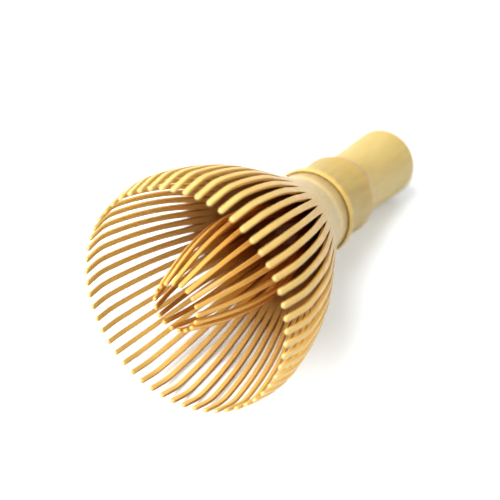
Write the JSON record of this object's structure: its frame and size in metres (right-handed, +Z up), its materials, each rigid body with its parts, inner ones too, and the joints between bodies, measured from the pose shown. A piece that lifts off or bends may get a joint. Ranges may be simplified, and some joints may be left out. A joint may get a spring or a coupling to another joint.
{
  "type": "tea whisk",
  "caption": "Moulded resin matcha whisk in the shape of a split bamboo chasen: a waisted handle with a node, a flaring crown of tines and an inner bud of tines.",
  "frame": {"origin": "centre of the flat end face of the handle, on the whisk's axis", "axes": "+Y along the whisk's axis, out of the handle's end face, so the tines point towards -Y; +Z up with the whisk lying level; +X completes a right-handed frame"},
  "size_m": [0.0608, 0.1173, 0.0608],
  "materials": {
    "handle_resin": "satin moulded resin, tan bamboo colour",
    "neck_resin": "satin moulded resin, pale bamboo colour",
    "hub_resin": "satin moulded resin, amber",
    "outer_tine_resin": "satin moulded resin, cream yellow",
    "inner_tine_resin": "satin moulded resin, amber"
  },
  "bodies": {
    "handle": {"handle": "handle_resin", "outer_crown_neck": "neck_resin", "inner_crown_hub": "hub_resin"},
    "outer_comb_01": {"outer_tines_01": "outer_tine_resin"},
    "outer_comb_02": {"outer_tines_02": "outer_tine_resin"},
    "outer_comb_03": {"outer_tines_03": "outer_tine_resin"},
    "outer_comb_04": {"outer_tines_04": "outer_tine_resin"},
    "outer_comb_05": {"outer_tines_05": "outer_tine_resin"},
    "outer_comb_06": {"outer_tines_06": "outer_tine_resin"},
    "outer_comb_07": {"outer_tines_07": "outer_tine_resin"},
    "outer_comb_08": {"outer_tines_08": "outer_tine_resin"},
    "outer_comb_09": {"outer_tines_09": "outer_tine_resin"},
    "outer_comb_10": {"outer_tines_10": "outer_tine_resin"},
    "outer_comb_11": {"outer_tines_11": "outer_tine_resin"},
    "inner_comb_01": {"inner_tines_01": "inner_tine_resin"},
    "inner_comb_02": {"inner_tines_02": "inner_tine_resin"},
    "inner_comb_03": {"inner_tines_03": "inner_tine_resin"},
    "inner_comb_04": {"inner_tines_04": "inner_tine_resin"},
    "inner_comb_05": {"inner_tines_05": "inner_tine_resin"},
    "inner_comb_06": {"inner_tines_06": "inner_tine_resin"}
  },
  "joints": [
    {"name": "outer_flex_01", "type": "hinge", "parent": "handle", "child": "outer_comb_01", "pos_m": [0.00523, -0.07035, 0.01705], "axis": [-0.956, 0, 0.2932], "range_deg": [-4, 6], "stiffness_Nm_per_rad": 0.1},
    {"name": "outer_flex_02", "type": "hinge", "parent": "handle", "child": "outer_comb_02", "pos_m": [0.01362, -0.07035, 0.01152], "axis": [-0.6457, 0, 0.7636], "range_deg": [-4, 6], "stiffness_Nm_per_rad": 0.1},
    {"name": "outer_flex_03", "type": "hinge", "parent": "handle", "child": "outer_comb_03", "pos_m": [0.01769, -0.07035, 0.00233], "axis": [-0.1304, 0, 0.9915], "range_deg": [-4, 6], "stiffness_Nm_per_rad": 0.1},
    {"name": "outer_flex_04", "type": "hinge", "parent": "handle", "child": "outer_comb_04", "pos_m": [0.01614, -0.07035, -0.0076], "axis": [0.4263, 0, 0.9046], "range_deg": [-4, 6], "stiffness_Nm_per_rad": 0.1},
    {"name": "outer_flex_05", "type": "hinge", "parent": "handle", "child": "outer_comb_05", "pos_m": [0.00946, -0.07035, -0.01512], "axis": [0.8477, 0, 0.5305], "range_deg": [-4, 6], "stiffness_Nm_per_rad": 0.1},
    {"name": "outer_flex_06", "type": "hinge", "parent": "handle", "child": "outer_comb_06", "pos_m": [-0.00021, -0.07035, -0.01784], "axis": [0.9999, 0, -0.012], "range_deg": [-4, 6], "stiffness_Nm_per_rad": 0.1},
    {"name": "outer_flex_07", "type": "hinge", "parent": "handle", "child": "outer_comb_07", "pos_m": [-0.00982, -0.07035, -0.01489], "axis": [0.8347, 0, -0.5507], "range_deg": [-4, 6], "stiffness_Nm_per_rad": 0.1},
    {"name": "outer_flex_08", "type": "hinge", "parent": "handle", "child": "outer_comb_08", "pos_m": [-0.01631, -0.07035, -0.00722], "axis": [0.4045, 0, -0.9145], "range_deg": [-4, 6], "stiffness_Nm_per_rad": 0.1},
    {"name": "outer_flex_09", "type": "hinge", "parent": "handle", "child": "outer_comb_09", "pos_m": [-0.01762, -0.07035, 0.00275], "axis": [-0.1542, 0, -0.988], "range_deg": [-4, 6], "stiffness_Nm_per_rad": 0.1},
    {"name": "outer_flex_10", "type": "hinge", "parent": "handle", "child": "outer_comb_10", "pos_m": [-0.01334, -0.07035, 0.01184], "axis": [-0.6639, 0, -0.7478], "range_deg": [-4, 6], "stiffness_Nm_per_rad": 0.1},
    {"name": "outer_flex_11", "type": "hinge", "parent": "handle", "child": "outer_comb_11", "pos_m": [-0.00482, -0.07035, 0.01717], "axis": [-0.9628, 0, -0.2702], "range_deg": [-4, 6], "stiffness_Nm_per_rad": 0.1},
    {"name": "inner_flex_01", "type": "hinge", "parent": "handle", "child": "inner_comb_01", "pos_m": [0.0039, -0.06735, 0.00733], "axis": [-0.8829, 0, 0.4695], "range_deg": [-0.6, 8], "stiffness_Nm_per_rad": 0.06},
    {"name": "inner_flex_02", "type": "hinge", "parent": "handle", "child": "inner_comb_02", "pos_m": [0.00829, -0.06735, 0.00029], "axis": [-0.0349, 0, 0.9994], "range_deg": [-0.6, 8], "stiffness_Nm_per_rad": 0.06},
    {"name": "inner_flex_03", "type": "hinge", "parent": "handle", "child": "inner_comb_03", "pos_m": [0.0044, -0.06735, -0.00704], "axis": [0.848, 0, 0.5299], "range_deg": [-0.6, 8], "stiffness_Nm_per_rad": 0.06},
    {"name": "inner_flex_04", "type": "hinge", "parent": "handle", "child": "inner_comb_04", "pos_m": [-0.0039, -0.06735, -0.00733], "axis": [0.8829, 0, -0.4695], "range_deg": [-0.6, 8], "stiffness_Nm_per_rad": 0.06},
    {"name": "inner_flex_05", "type": "hinge", "parent": "handle", "child": "inner_comb_05", "pos_m": [-0.00829, -0.06735, -0.00029], "axis": [0.0349, 0, -0.9994], "range_deg": [-0.6, 8], "stiffness_Nm_per_rad": 0.06},
    {"name": "inner_flex_06", "type": "hinge", "parent": "handle", "child": "inner_comb_06", "pos_m": [-0.0044, -0.06735, 0.00704], "axis": [-0.848, 0, -0.5299], "range_deg": [-0.6, 8], "stiffness_Nm_per_rad": 0.06}
  ]
}
